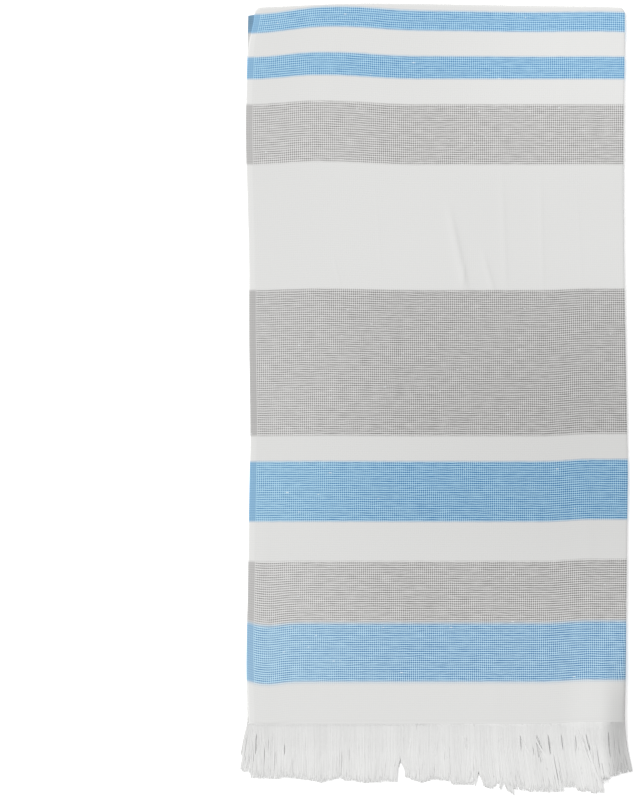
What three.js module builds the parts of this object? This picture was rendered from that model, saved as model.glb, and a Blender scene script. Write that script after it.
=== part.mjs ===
// Flat-woven cotton towel with fringed ends, folded in half along its length
// and once more across its middle, so that it lies as four layers.
// Millimetres, +Z up. The towel lies on the plane z = 0, its cross fold towards
// +Y, its fringe towards -Y and its lengthwise fold towards +X.

import * as THREE from "three";

// The open towel
const CLOTH_WIDTH = 896;
const CLOTH_LENGTH = 1717;
const CLOTH_THICKNESS = 1;
const FRINGE_REACH = 72; // usual length of the loose warp ends past the cloth

// The folds
const PAIR_GAP = 0.6; // between the two halves that the lengthwise fold lays together
const MIDDLE_GAP = 0.6; // between the two pairs that the cross fold lays together
const FOLD_ROLL = { height: 5.5, width: 11, along: 130, across: 60 }; // open roll at the fold's end
const OUTER_HEM_INSET = { size: 7.5, spread: 36 }; // bares the inner hem at the cross fold
const INNER_HEM_INSET = { size: 2.5, from: 60, to: 140 }; // hides it again further down
const OUTER_HEM_CORNER = { drop: 4, spread: 3 };
const INNER_HEM_CORNER = { drop: 8, spread: 26 };
const FOLD_CORNER = { drop: 5, spread: 2.5 };
const CROSS_FOLD_FADE = 60; // how far down the cross fold's bow is felt
const FOLD_SIDE_RISE = { size: 2.6, fromAcross: 125, toAcross: 182, fromDown: 150, toDown: 450 };

// Unevenness, as heights that the uppermost layer gains and the lowest doesn't
const LEAST_LIFT = 0.2;
const WAVES = [
  { height: 0.35, across: 61, along: 173, shift: 0 },
  { height: 0.35, across: 97, along: -88, shift: 2 },
];
const HEM_LIFT = { height: 1.1, spread: 45, along: 52, change: 0.7 };

// The fringe
const SEAM_GAP = 0.3; // between the cloth's cut edge and the strip that holds the strands
const STRIP_DEPTH = 3;
const STRANDS_PER_LAYER = 60;
const STRAND_WIDTH = { root: 5.6, tip: 2.8 };
const STRAND_TIP_THICKNESS = 0.7;
const STRAND_OFFSET = { 1: 0.42, [-1]: 0.5 }; // staggers the strands of the layers, in strands
const STRAND_SETTLE = 0.22; // share of its height that a strand loses towards its tip
const STRAND_RAGGED = { reach: 3.2, lean: 0.35 }; // most that a strand differs from its neighbours
const LEAN_BEND = { toHem: 0.6, toFold: 2 }; // under 1 a leaning strand bends near its root

// Grid cells on each side of a fold, those of its own bend included
const CELLS_BEND = 3;
const CELLS_ACROSS = 13;
const CELLS_ALONG = 22;
const CELLS_STRAND = 3;
const CELL_GRADING = 1.35; // how much closer the cells stand near the lengthwise fold

const halfWidth = CLOTH_WIDTH / 2; // hem to lengthwise fold
const halfLength = CLOTH_LENGTH / 2; // cross fold to cut edge
const foldAcross = halfWidth / 2; // the folded towel's middle to its lengthwise fold
const pairRadius = (PAIR_GAP + CLOTH_THICKNESS) / 2;
const crossRadius = pairRadius + (CLOTH_THICKNESS + MIDDLE_GAP) / 2;
const crossQuarter = (Math.PI / 2) * crossRadius;
const middleHeight = crossRadius + pairRadius + CLOTH_THICKNESS / 2;
const topLayerHeight = middleHeight + crossRadius + pairRadius;
const layerRise = topLayerHeight - CLOTH_THICKNESS / 2; // lowest to highest layer, middle to middle

// How far each long edge strays from straight, by the distance down from the cross fold.
const EDGE_WANDER = [
  { down: 0, hemSide: -0.4, foldSide: 0 },
  { down: 68, hemSide: -2.0, foldSide: -0.6 },
  { down: 151, hemSide: -3.6, foldSide: -1.8 },
  { down: 234, hemSide: -1.7, foldSide: -1.8 },
  { down: 306, hemSide: 0.1, foldSide: -1.2 },
  { down: 401, hemSide: 0.5, foldSide: 0.5 },
  { down: 520, hemSide: 1.8, foldSide: 2.6 },
  { down: 556, hemSide: 1.1, foldSide: 3.3 },
  { down: 615, hemSide: 0, foldSide: 2.6 },
  { down: 710, hemSide: -1.4, foldSide: 1.5 },
  { down: 782, hemSide: -2.9, foldSide: 0.8 },
  { down: 860, hemSide: -1.9, foldSide: -0.7 },
];

// How far the cross fold drops below its highest point, by the place across.
const CROSS_FOLD_DROP = [
  { across: -224, drop: 5.2 },
  { across: -195, drop: 3.8 },
  { across: -145, drop: 1.4 },
  { across: -95, drop: 0 },
  { across: -60, drop: 0.1 },
  { across: 0, drop: 0.9 },
  { across: 120, drop: 2.9 },
  { across: 200, drop: 4 },
  { across: 224, drop: 5 },
];

// How far the strands reach past the cloth and lean sideways, by the place across.
const FRINGE_SHAPE = [
  { across: -224, reach: 56, lean: -11 },
  { across: -212, reach: 58, lean: -5 },
  { across: -190, reach: 65, lean: -1 },
  { across: -110, reach: 68, lean: 0 },
  { across: -52, reach: 68, lean: 0 },
  { across: -42, reach: 52, lean: 0 },
  { across: -30, reach: 64, lean: 1 },
  { across: 20, reach: 71, lean: 2 },
  { across: 50, reach: 66, lean: 4 },
  { across: 72, reach: 78, lean: 6 },
  { across: 88, reach: 84, lean: 8 },
  { across: 130, reach: 80, lean: 11 },
  { across: 160, reach: 76, lean: 12 },
  { across: 188, reach: 82, lean: 11 },
  { across: 200, reach: 66, lean: 7 },
  { across: 212, reach: 58, lean: 7 },
  { across: 224, reach: 54, lean: 12 },
];

const ease = THREE.MathUtils.smoothstep; // from 0 to 1 between two places, level at both

// A smooth curve through one column of a table, by the place in another column.
function tableCurve(rows, key, column) {
  const places = rows.map((row) => row[key]);
  const curve = new THREE.CubicInterpolant(places, rows.map((row) => row[column]), 1);
  const [first, last] = [places[0], places[places.length - 1]];
  return (place) => curve.evaluate(THREE.MathUtils.clamp(place, first, last))[0];
}

const hemSideWander = tableCurve(EDGE_WANDER, "down", "hemSide");
const foldSideWander = tableCurve(EDGE_WANDER, "down", "foldSide");
const crossFoldDrop = tableCurve(CROSS_FOLD_DROP, "across", "drop");
const fringeReach = tableCurve(FRINGE_SHAPE, "across", "reach");
const fringeLean = tableCurve(FRINGE_SHAPE, "across", "lean");

// A bell that is 1 at its middle and fades over its spread.
function bell(distance, spread) {
  return Math.exp(-((distance / spread) ** 2));
}

// How far the roll is open at the lengthwise fold, 1 at the fringed end of the upper pair.
function rollOpening(v) {
  return v > 0 ? ease(v, halfLength - FOLD_ROLL.along, halfLength) : 0;
}

// The lengthwise fold is half an ellipse: its half height, half width and quarter length.
function foldSize(v) {
  const opening = rollOpening(v);
  const height = pairRadius + (FOLD_ROLL.height / 2) * opening;
  const width = pairRadius + (FOLD_ROLL.width - pairRadius) * opening;
  return { height, width, quarter: (Math.PI / 2) * Math.sqrt((height ** 2 + width ** 2) / 2) };
}

// Lays the open width, u from hem to hem, as a pair of halves: how far in from the
// fold a point lies, and its height over the pair's middle.
function foldLengthwise(u, v) {
  const { height, width, quarter } = foldSize(v);
  const past = Math.abs(u) - quarter;
  if (past < 0) {
    const angle = ((Math.PI / 2) * u) / quarter;
    const rise = height - pairRadius + height * Math.sin(angle);
    return { inward: width * (1 - Math.cos(angle)), rise };
  }
  const loose = (height - pairRadius) * (1 - ease(past, 0, FOLD_ROLL.across));
  return { inward: width + past, rise: Math.sign(u) * (pairRadius + loose) + loose };
}

// The lower end is drawn up a little along the lengthwise fold.
function foldSideRise(across, v) {
  const { size, fromAcross, toAcross, fromDown, toDown } = FOLD_SIDE_RISE;
  return size * ease(across, fromAcross, toAcross) * ease(v, fromDown, toDown);
}

// How far a hem lies in from the folded towel's edge; the outer cloth has positive u.
function hemInset(u, v) {
  if (u > 0) return OUTER_HEM_INSET.size * bell(v, OUTER_HEM_INSET.spread);
  return INNER_HEM_INSET.size * ease(Math.abs(v), INNER_HEM_INSET.from, INNER_HEM_INSET.to);
}

// Rounds both ends of the cross fold off, and lowers the inner cloth at its hem.
function cornerDrop(u, inward) {
  const hemCorner = u > 0 ? OUTER_HEM_CORNER : INNER_HEM_CORNER;
  const atHem = hemCorner.drop * bell(halfWidth - Math.abs(u), hemCorner.spread);
  return atHem + FOLD_CORNER.drop * bell(inward, FOLD_CORNER.spread);
}

// Gentle unevenness that lifts the upper layers, most along the free hems.
function lift(across, down) {
  const { height, spread, along, change } = HEM_LIFT;
  let total = LEAST_LIFT;
  total += height * bell(across + foldAcross, spread) * (1 + change * Math.sin(down / along));
  for (const wave of WAVES) {
    total += wave.height * (1 + Math.sin(across / wave.across + down / wave.along + wave.shift));
  }
  return total;
}

// Where a point of the open cloth lies once folded: u across from the lengthwise
// fold, v along from the cross fold, both measured on the cloth's middle surface.
function foldedPoint(u, v, target) {
  const pair = foldLengthwise(u, v);
  const plainAcross = foldAcross - pair.inward;
  const fromAxis = crossRadius + pair.rise;
  const angle = THREE.MathUtils.clamp(v / crossRadius, -Math.PI / 2, Math.PI / 2);
  const straight = Math.max(0, Math.abs(v) - crossQuarter);
  const foldTop = crossRadius + pairRadius - fromAxis * Math.cos(angle);
  const bow = (crossFoldDrop(plainAcross) + cornerDrop(u, pair.inward)) * bell(v, CROSS_FOLD_FADE);
  const down = straight + foldTop + bow - foldSideRise(plainAcross, v);
  const hemSide = hemSideWander(down) + hemInset(u, v);
  const wander = THREE.MathUtils.lerp(foldSideWander(down), hemSide, pair.inward / halfWidth);
  const height = middleHeight + fromAxis * Math.sin(angle);
  const share = Math.min(1, (height - CLOTH_THICKNESS / 2) / layerRise);
  return target.set(plainAcross + wander, -down, height + share * lift(plainAcross, down));
}

const PROBE = 0.02; // step for the slope of the folded surface
const stepU = new THREE.Vector3();
const stepV = new THREE.Vector3();
const opposite = new THREE.Vector3();

// The folded surface's outward direction, on the side that shows when the towel is folded.
function foldedNormal(u, v, target) {
  stepU.subVectors(foldedPoint(u + PROBE, v, stepU), foldedPoint(u - PROBE, v, opposite));
  stepV.subVectors(foldedPoint(u, v + PROBE, stepV), foldedPoint(u, v - PROBE, opposite));
  return target.crossVectors(stepU, stepV).normalize();
}

// A point that lies h over the cloth's middle surface, on its outer side.
function foldedCorner(u, v, h, target) {
  const normal = foldedNormal(u, v, new THREE.Vector3());
  return foldedPoint(u, v, target).addScaledVector(normal, h);
}

// Place of a grid line across, counted from the lengthwise fold, at v along.
function acrossLine(step, v) {
  const { quarter } = foldSize(v);
  if (Math.abs(step) <= CELLS_BEND) return (quarter * step) / CELLS_BEND;
  const share = ((Math.abs(step) - CELLS_BEND) / (CELLS_ACROSS - CELLS_BEND)) ** CELL_GRADING;
  return Math.sign(step) * THREE.MathUtils.lerp(quarter, halfWidth, share);
}

// Place of a grid line along, counted from the cross fold.
function alongLine(step) {
  if (Math.abs(step) <= CELLS_BEND) return (crossQuarter * step) / CELLS_BEND;
  const share = (Math.abs(step) - CELLS_BEND) / (CELLS_ALONG - CELLS_BEND);
  return Math.sign(step) * THREE.MathUtils.lerp(crossQuarter, halfLength, share);
}

// The cloth, folded twice, as one sheet. It starts as a box of unit cells, and each
// corner is moved to its place in the folds.
function clothGeometry() {
  const [columns, rows] = [2 * CELLS_ACROSS, 2 * CELLS_ALONG];
  const geometry = new THREE.BoxGeometry(columns, rows, CLOTH_THICKNESS, columns, rows, 1);
  const places = geometry.getAttribute("position");
  const corner = new THREE.Vector3();
  for (let i = 0; i < places.count; i++) {
    const v = alongLine(Math.round(places.getY(i)));
    foldedCorner(acrossLine(Math.round(places.getX(i)), v), v, places.getZ(i), corner);
    places.setXYZ(i, corner.x, corner.y, corner.z);
  }
  return geometry;
}

// A repeatable number from -1 to 1 for strand number i.
function ragged(i) {
  const wave = Math.sin(i * 12.9898) * 43758.5453;
  return 2 * (wave - Math.floor(wave)) - 1;
}

// Grid lines across a fringe, from hem to hem: two for each strand, and one more at
// both hems and at the fold.
function fringeLines(end) {
  const count = 2 * STRANDS_PER_LAYER;
  const pitch = CLOTH_WIDTH / count;
  const lines = [{ u: -halfWidth }];
  for (let strand = 0; strand < count; strand++) {
    if (strand === STRANDS_PER_LAYER) lines.push({ u: 0 });
    const middle = (strand + STRAND_OFFSET[end]) * pitch - halfWidth;
    lines.push({ u: middle - STRAND_WIDTH.root / 2, middle, strand });
    lines.push({ u: middle + STRAND_WIDTH.root / 2, middle, strand });
  }
  lines.push({ u: halfWidth });
  return lines;
}

// Which side of the cloth faces down in a layer: 1 for the outer side, -1 for the inner.
function lowerSide(u, end) {
  return Math.sign(u) === end ? -1 : 1;
}

// A corner of a strand, share of its length out from the strip. It runs on in the folds
// of the cloth, narrows, settles on what lies below it, and leans sideways.
function strandCorner(line, share, side, end) {
  const across = foldAcross - foldLengthwise(line.middle, end * halfLength).inward;
  const lean = fringeLean(across) + STRAND_RAGGED.lean * ragged(line.strand + line.middle);
  const reach = fringeReach(across) + STRAND_RAGGED.reach * ragged(line.strand);
  const out = THREE.MathUtils.lerp(SEAM_GAP + STRIP_DEPTH, reach, share);
  const narrowed = THREE.MathUtils.lerp(1, STRAND_WIDTH.tip / STRAND_WIDTH.root, share);
  const thickness = THREE.MathUtils.lerp(CLOTH_THICKNESS, STRAND_TIP_THICKNESS, share);
  const u = THREE.MathUtils.lerp(line.middle, line.u, narrowed);
  const h = (side * thickness + lowerSide(u, end) * (CLOTH_THICKNESS - thickness)) / 2;
  const corner = foldedCorner(u, end * (halfLength + out), h, new THREE.Vector3());
  corner.x += lean * share ** (lean < 0 ? LEAN_BEND.toHem : LEAN_BEND.toFold);
  corner.z *= 1 - STRAND_SETTLE * ease(out, SEAM_GAP + STRIP_DEPTH, FRINGE_REACH);
  return corner;
}

// A cell's six faces. A corner is its step across, its step out and its side of the
// cloth. A face is left out where the cell at its hiddenBy, across and out, exists.
const CELL_FACES = [
  { corners: [[0, 0, 1], [1, 0, 1], [1, 1, 1], [0, 1, 1]] },
  { corners: [[0, 1, -1], [1, 1, -1], [1, 0, -1], [0, 0, -1]] },
  { corners: [[0, 0, -1], [0, 0, 1], [0, 1, 1], [0, 1, -1]], hiddenBy: [-1, 0] },
  { corners: [[1, 1, -1], [1, 1, 1], [1, 0, 1], [1, 0, -1]], hiddenBy: [1, 0] },
  { corners: [[0, 0, -1], [1, 0, -1], [1, 0, 1], [0, 0, 1]], hiddenBy: [0, -1] },
  { corners: [[0, 1, 1], [1, 1, 1], [1, 1, -1], [0, 1, -1]], hiddenBy: [0, 1] },
];

// The fringe of one end of the cloth, 1 for the upper pair of layers and -1 for the
// lower: a comb of cells, of which row 0 is the strip that holds the strands.
function fringeGeometry(end) {
  const lines = fringeLines(end);
  const places = [];

  function isCell(column, row) {
    const [left, right] = [lines[column], lines[column + 1]];
    if (row === 0) return left !== undefined && right !== undefined;
    const isStrand = left.strand !== undefined && left.strand === right.strand;
    return isStrand && row > 0 && row <= CELLS_STRAND;
  }

  function cellCorner(column, row, side) {
    if (row > 1) return strandCorner(lines[column], (row - 1) / CELLS_STRAND, side, end);
    const v = end * (halfLength + SEAM_GAP + row * STRIP_DEPTH);
    return foldedCorner(lines[column].u, v, (side * CLOTH_THICKNESS) / 2, new THREE.Vector3());
  }

  function addFace(column, row, corners) {
    const turned = end > 0 ? corners : corners.toReversed();
    const [a, b, c, d] = turned.map((step) => cellCorner(column + step[0], row + step[1], step[2]));
    [a, b, c, a, c, d].forEach((point) => places.push(...point));
  }

  for (let column = 0; column + 1 < lines.length; column++) {
    for (let row = 0; isCell(column, row); row++) {
      for (const { corners, hiddenBy } of CELL_FACES) {
        const hidden = hiddenBy && isCell(column + hiddenBy[0], row + hiddenBy[1]);
        if (!hidden) addFace(column, row, corners);
      }
    }
  }
  const geometry = new THREE.BufferGeometry();
  geometry.setAttribute("position", new THREE.Float32BufferAttribute(places, 3));
  return geometry;
}

function cottonMaterial(color) {
  return new THREE.MeshStandardMaterial({ color, roughness: 0.9, metalness: 0 });
}

const towel = new THREE.Group();

function addPiece(name, geometry, material) {
  const mesh = new THREE.Mesh(geometry, material);
  mesh.name = name;
  towel.add(mesh);
}

addPiece("cloth", clothGeometry(), cottonMaterial("#c9d3da"));
addPiece("upper_fringe", fringeGeometry(1), cottonMaterial("#e9e9e6"));
addPiece("lower_fringe", fringeGeometry(-1), cottonMaterial("#e4e4e1"));

// The origin is the middle of the towel's outline, on the surface it lies on.
const outline = new THREE.Box3().setFromObject(towel);
const middle = outline.getCenter(new THREE.Vector3());
towel.children.forEach((mesh) => mesh.position.set(-middle.x, -middle.y, 0));

export default towel;
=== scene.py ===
"""Folded cotton towel: woven cloth, two yarn fringes, and the stage they are seen on.

The shape functions work in millimetres, in the open cloth's own terms: u across from
the lengthwise fold, v along from the cross fold. Meshes are made in metres.
"""

import math
from functools import reduce
from types import SimpleNamespace

import bpy
import numpy as np
from bpy.props import FloatProperty, FloatVectorProperty, IntProperty, PointerProperty
from bpy.types import Operator, Panel, PropertyGroup
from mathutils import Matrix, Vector


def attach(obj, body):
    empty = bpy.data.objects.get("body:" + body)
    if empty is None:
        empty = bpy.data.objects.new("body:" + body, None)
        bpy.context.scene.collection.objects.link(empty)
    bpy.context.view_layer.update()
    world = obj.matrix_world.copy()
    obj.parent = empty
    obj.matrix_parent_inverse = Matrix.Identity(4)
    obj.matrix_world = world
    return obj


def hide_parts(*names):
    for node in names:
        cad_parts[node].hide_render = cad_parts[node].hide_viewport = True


bl_info = {
    "name": "Folded Fringed Towel",
    "version": (1, 0, 0),
    "blender": (4, 5, 0),
    "location": "3D View > Sidebar > Towel",
    "description": "Builds a striped cotton towel with fringed ends, folded twice",
    "category": "Object",
}

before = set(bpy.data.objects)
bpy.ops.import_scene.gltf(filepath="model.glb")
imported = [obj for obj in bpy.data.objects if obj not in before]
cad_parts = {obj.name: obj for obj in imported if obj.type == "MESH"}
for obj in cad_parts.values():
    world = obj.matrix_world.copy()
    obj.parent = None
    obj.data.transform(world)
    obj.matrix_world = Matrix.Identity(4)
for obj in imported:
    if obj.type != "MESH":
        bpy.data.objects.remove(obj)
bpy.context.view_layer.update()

BODY = "root"
MM = 0.001

# Where the folded towel's own origin lies in the frame, in millimetres
OUTLINE_SHIFT = (-1.505, 472.344)

# The folds, in millimetres
FOLD_ROLL = SimpleNamespace(height=5.5, width=16, along=130, across=60)
OUTER_HEM_INSET = SimpleNamespace(size=7.5, spread=36)
INNER_HEM_INSET = SimpleNamespace(size=2.5, begin=60, end=140)
OUTER_HEM_CORNER = SimpleNamespace(drop=4, spread=3)
INNER_HEM_CORNER = SimpleNamespace(drop=8, spread=26)
FOLD_CORNER = SimpleNamespace(drop=5, spread=2.5)
CROSS_FOLD_FADE = 60
FOLD_SIDE_RISE = SimpleNamespace(size=2.6, across=(125, 182), down=(150, 450))
LEAST_LIFT = 0.2
HEM_LIFT = SimpleNamespace(height=1.1, spread=45, along=52, change=0.7)

WAVES = (
    # height, across, along, shift
    (0.35, 61, 173, 0), (0.35, 97, -88, 2),
)

EDGE_WANDER = (
    # down, hem side, fold side
    (0, -0.4, 0), (68, -2.0, -0.6), (151, -3.6, -1.8), (234, -1.7, -1.8), (306, 0.1, -1.2),
    (401, 0.5, 0.5), (520, 1.8, 2.6), (556, 1.1, 3.3), (615, 0, 2.6), (710, -1.4, 1.5),
    (782, -2.9, 0.8), (860, -1.9, -0.7),
)

CROSS_FOLD_DROP = (
    # across, drop
    (-224, 5.2), (-195, 3.8), (-145, 1.4), (-95, 0), (-60, 0.1), (0, 0.9), (120, 2.9),
    (200, 4), (224, 5),
)

# Soft creases in the uppermost layer: the line's two ends, ridge height, and how far it
# spreads on its gentle side. Its other side falls off faster.
CREASES = (
    # across, down, across, down, height, spread
    (15, 240, 36, 344, 1.05, 7.5), (55, 296, 69, 346, 0.6, 6), (34, 306, 31, 338, 0.25, 4),
    (79, 195, 83, 344, 0.3, 6), (125, 195, 127, 344, 0.34, 5.5),
    (-124, 300, -115, 338, 0.24, 4), (-72, 212, -66, 330, 0.12, 4),
    (168, 214, 173, 338, 0.14, 4), (176, 560, 186, 850, 0.3, 9),
    (-205, 560, -199, 850, 0.26, 8), (60, 690, 74, 850, 0.16, 9),
    (-120, 20, -128, 190, 0.18, 9), (150, 10, 158, 150, 0.16, 8),
)
CREASE_STEEP_SIDE = 0.75
# The shares of its length where a crease begins, is whole, begins to fade and ends
CREASE_ENDS = (-0.15, 0.4, 0.8, 1.08)
# Creases up to this spread get a part of their height from the shader alone
CREASE_FINE = SimpleNamespace(spread=7.5, share=0.4)

# The weave's bands, from the cross fold out: where each begins, its share of blue and
# of grey yarn, and its tone
BANDS = (
    # from, blue, grey, tone
    (0, 0, 0, 1), (9.5, 1, 0, 1), (33, 0, 0, 1), (63.9, 1, 0, 0.98), (89.9, 0, 0, 1),
    (119.8, 0, 1, 1), (192.3, 0, 0, 0.98), (342.2, 0, 1, 0.93), (514.6, 0, 0, 0.95),
    (544.6, 1, 0, 0.92), (616.6, 0, 0, 0.965), (665.4, 0, 1, 0.975), (737.2, 1, 0.13, 0.995),
    (808.4, 0, 0, 0.98),
)
BAND_EDGE = 0.7
BAND_SPAN = 870.0

# The weft bows a little across the folded towel
WEFT_ARCH = SimpleNamespace(height=5.2, across=-139, left=80, right=120, fade=330)
WEFT_DIP = SimpleNamespace(depth=3.0, across=-198, spread=19)
WEFT_HEM_RISE = SimpleNamespace(height=1.8, across=(-224, -210))
WEFT_LOW_DOWN = (630, 740)
INNER_WEFT_SLIP = SimpleNamespace(size=9.0, across=26, along=70)
WEFT_FOLD_RISE = SimpleNamespace(height=2.4, across=(90, 224))

# The upper fringe's locks, from the hems to the lengthwise fold: where each begins,
# how far its yarns reach at its two sides, and how much its tips draw together
LOCKS = (
    # across, reach, reach, gather
    (-224, 59, 60.5, 0.018), (-214, 67, 68, 0.022), (-190, 69, 66, 0.036),
    (-176, 66.5, 69.5, 0.029), (-155, 69, 73, 0.022), (-134, 72, 66.5, 0.036),
    (-112, 69.5, 72, 0.018), (-88, 73, 72, 0.025), (-66, 72, 71, 0.022),
    (-42.5, 65, 72, 0.029), (-20, 73, 68, 0.029), (-1, 69.5, 70.5, 0.036),
    (16, 75, 75, 0.022), (46, 75.5, 80.5, 0.029), (60, 80.5, 73, 0.036),
    (73.5, 80, 88, 0.05), (84, 80, 83.5, 0.029), (106, 83, 84, 0.022),
    (126, 84.5, 83, 0.029), (142, 79, 79.5, 0.036), (155, 84, 86, 0.029),
    (172, 87, 88, 0.036), (188, 71, 70, 0.029), (200, 68, 65.5, 0.036),
    (212, 64.5, 60.5, 0.058),
)

# How far the yarns lean sideways at their tips
LEANS = (
    # across, lean
    (-224, -13.5), (-212, -5), (-190, -1), (-110, 0), (-30, 1), (20, 2), (50, 4), (72, 6),
    (88, 8), (130, 11), (160, 12), (188, 11), (200, 7), (212, 7), (224, 12),
)

# Places where the upper yarns part, and what lies below shows
PARTINGS = (
    # across, width, out from, out to, slant
    (-42.5, 7, 46, 90, 0), (50, 7.5, 61, 95, 0.03), (79.5, 6.5, 70, 95, 0.05),
    (-214, 1.4, 13, 38, 0), (-181, 1.2, 24, 42, 0.05), (-97.5, 0.4, 15, 24, 0),
    (-93.5, 0.3, 15, 24, 0), (-98, 0.4, 31, 43, 0), (-78, 0.4, 22, 34, 0),
    (36, 0.4, 14, 32, 0.25), (44, 0.4, 13, 30, 0.28), (52, 0.4, 14, 33, 0.28),
    (59, 0.4, 12, 26, 0.28), (74, 0.4, 15, 24, 0.1), (77.5, 0.4, 27, 44, 0.1),
    (92, 0.4, 13, 32, 0.38), (99, 1.4, 13, 34, 0.38), (114, 0.5, 23, 43, 0.22),
    (119, 3.2, 13, 44, 0.36), (132, 1.6, 12, 36, 0.3), (164.5, 0.8, 14, 38, 0.34),
    (177, 2, 14, 44, 0.38), (148, 1.4, 12, 34, 0.2), (204, 1.6, 10, 46, 0.1),
    (-20, 0.3, 22, 44, 0.05), (10, 0.3, 30, 48, 0.1), (-140, 0.3, 26, 44, 0),
)

# Bundles that cross over the others: both ends, how many yarns, and how wide
CROSSINGS = (
    # across, out, across, out, yarns, width
    (117, 13, 141, 53, 4, 1.6), (166, 3, 178.5, 34, 4, 1.8), (170, 8, 188, 60, 5, 3),
    (176, 12, 197, 80, 5, 2.4), (100, 10, 118, 47, 3, 1.4), (-206, 12, -198, 48, 3, 1.5),
    (-30, 10, -36, 52, 3, 1.5), (30, 8, 44, 50, 3, 1.5),
)

# The share of an end's yarns that belongs to its uppermost layer
UPPER_SHARE = 0.66

# The plain strip at the side hems and the line near both ends, in millimetres
HEM_STRIP = 8.4
END_BAND = 4.1
# How much thicker the cloth is in its hems, and how its cut edges are rounded off
HEM_SWELL = SimpleNamespace(plain=0.82, more=0.30, step=1.2)
EDGE_ROUND = SimpleNamespace(reach=0.9, least=0.45)

# How far inside the cloth's edge the yarns begin, where they come down, the corners of
# their section, and their levels, as shares of the depth that they are spread over
YARN_INSET = 2.2
YARN_SETTLE = (1, 36)
YARN_SIDES = 4
YARN_LEVELS = (-0.55, 0.35, -0.1, 0.6, 0.1)
# Partings that reach further out than this go down through the lower layers too
OPEN_PARTING = 85

# The stage: where the floor lies, the height that the view is set for, and the key light
FLOOR_HEIGHT = -0.0004
SEEN_HEIGHT = 0.006
KEY_DIRECTION = (0.62, -0.42, -1.0)

SLUB_COLOUR = (0.84, 0.88, 0.90, 1)
HEM_LIGHT = (0.48, 0.48, 0.48, 1)
WHITE = (1, 1, 1, 1)

# Painted light and shade on the cloth: the tone that each reaches, and the ramps that lead
# to it. A ramp has its measure, where it is least, where it is full, its least, and if it is
# smooth.
PAINTED_LIGHT_AND_SHADE = (
    # painted light: lighter near the lengthwise fold, close to the cross fold
    (1.06, ("across", 0.28, 0.06, 0.0, True), ("along", 0.25, 0.07, 0.0, True)),
    # painted shade: darker towards the lengthwise fold, midway along
    (0.91, ("across", 0.42, 0.08, 0.0, False), ("along", 0.28, 0.50, 0.0, True),
     ("along", 0.78, 0.60, 0.3, True)),
    # painted shade on the roll at the upper pair's fringed end
    (0.86, ("across", 0.034, 0.012, 0.0, True), ("v", 0.765, 0.85, 0.0, True)),
    # painted shade on the inner layer's hem, under the cross fold
    (0.60, ("u", -0.43, -0.444, 0.0, False), ("along", 0.06, 0.02, 0.0, False)),
)


def smooth_step(value, begin, end):
    """0 before begin and 1 past end, with a cubic between them that is level at both."""
    share = np.clip((value - begin) / (end - begin), 0, 1)
    return share * share * (3 - 2 * share)


def bell(distance, spread):
    """1 at no distance, and e to the power of minus (distance / spread) squared beyond."""
    return np.exp(-((distance / spread) ** 2))


def table_curve(rows, column, places):
    """A smooth curve through one column of a table, by the place in its first column.

    Between two rows it is a cubic, and at a row its slope is the mean of the slopes on
    both sides. Past the table's ends it keeps the last value.
    """
    x = np.array([row[0] for row in rows], float)
    y = np.array([row[column] for row in rows], float)
    slopes = np.diff(y) / np.diff(x)
    inner = (slopes[:-1] + slopes[1:]) / 2
    tangents = np.concatenate([slopes[:1], inner, slopes[-1:]])
    places = np.clip(places, x[0], x[-1])
    i = np.clip(np.searchsorted(x, places, side="right") - 1, 0, len(x) - 2)
    step = x[i + 1] - x[i]
    t = (places - x[i]) / step
    start = (2 * t**3 - 3 * t**2 + 1) * y[i] + (t**3 - 2 * t**2 + t) * step * tangents[i]
    end = (3 * t**2 - 2 * t**3) * y[i + 1] + (t**3 - t**2) * step * tangents[i + 1]
    return start + end


def fold_layout(sizes):
    """The folds' radii and the layers' heights, in millimetres, from the open cloth."""
    thick = sizes.thickness / MM
    pair = (sizes.pair_gap / MM + thick) / 2
    cross = pair + (thick + sizes.middle_gap / MM) / 2
    half_width = sizes.width / MM / 2
    middle = cross + pair + thick / 2
    return SimpleNamespace(
        thick=thick,
        pair=pair,
        cross=cross,
        quarter=math.pi / 2 * cross,
        half_width=half_width,
        half_length=sizes.length / MM / 2,
        fold_across=half_width / 2,
        middle=middle,
        rise=middle + cross + pair - thick / 2,
    )


def fold_size(lay, v):
    """Half height, half width and quarter length of the lengthwise fold, half an ellipse.

    It is tight but for the upper pair's fringed end, where it opens into a roll.
    """
    opening = smooth_step(v, lay.half_length - FOLD_ROLL.along, lay.half_length)
    height = lay.pair + FOLD_ROLL.height / 2 * opening
    width = lay.pair + (FOLD_ROLL.width - lay.pair) * opening
    return height, width, math.pi / 2 * np.sqrt((height**2 + width**2) / 2)


def fold_lengthwise(lay, u, v):
    """How far in from the fold a point lies, and its height over the pair's middle.

    Within the fold's quarter length the point goes round half an ellipse. Past it, it
    lies on one of two straight layers, which close up as the roll dies away.
    """
    height, width, quarter = fold_size(lay, v)
    past = np.abs(u) - quarter
    angle = math.pi / 2 * u / quarter
    loose = (height - lay.pair) * (1 - smooth_step(past, 0, FOLD_ROLL.across))
    round_in = width * (1 - np.cos(angle))
    round_rise = height - lay.pair + height * np.sin(angle)
    straight_rise = np.sign(u) * (lay.pair + loose) + loose
    bent = past < 0
    return np.where(bent, round_in, width + past), np.where(bent, round_rise, straight_rise)


def hem_inset(u, v):
    """How far a hem lies in from the edge: the outer one by a bell at the cross fold,
    the inner one by a step further down."""
    outer = OUTER_HEM_INSET.size * bell(v, OUTER_HEM_INSET.spread)
    inset = INNER_HEM_INSET
    return np.where(u > 0, outer, inset.size * smooth_step(np.abs(v), inset.begin, inset.end))


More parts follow.
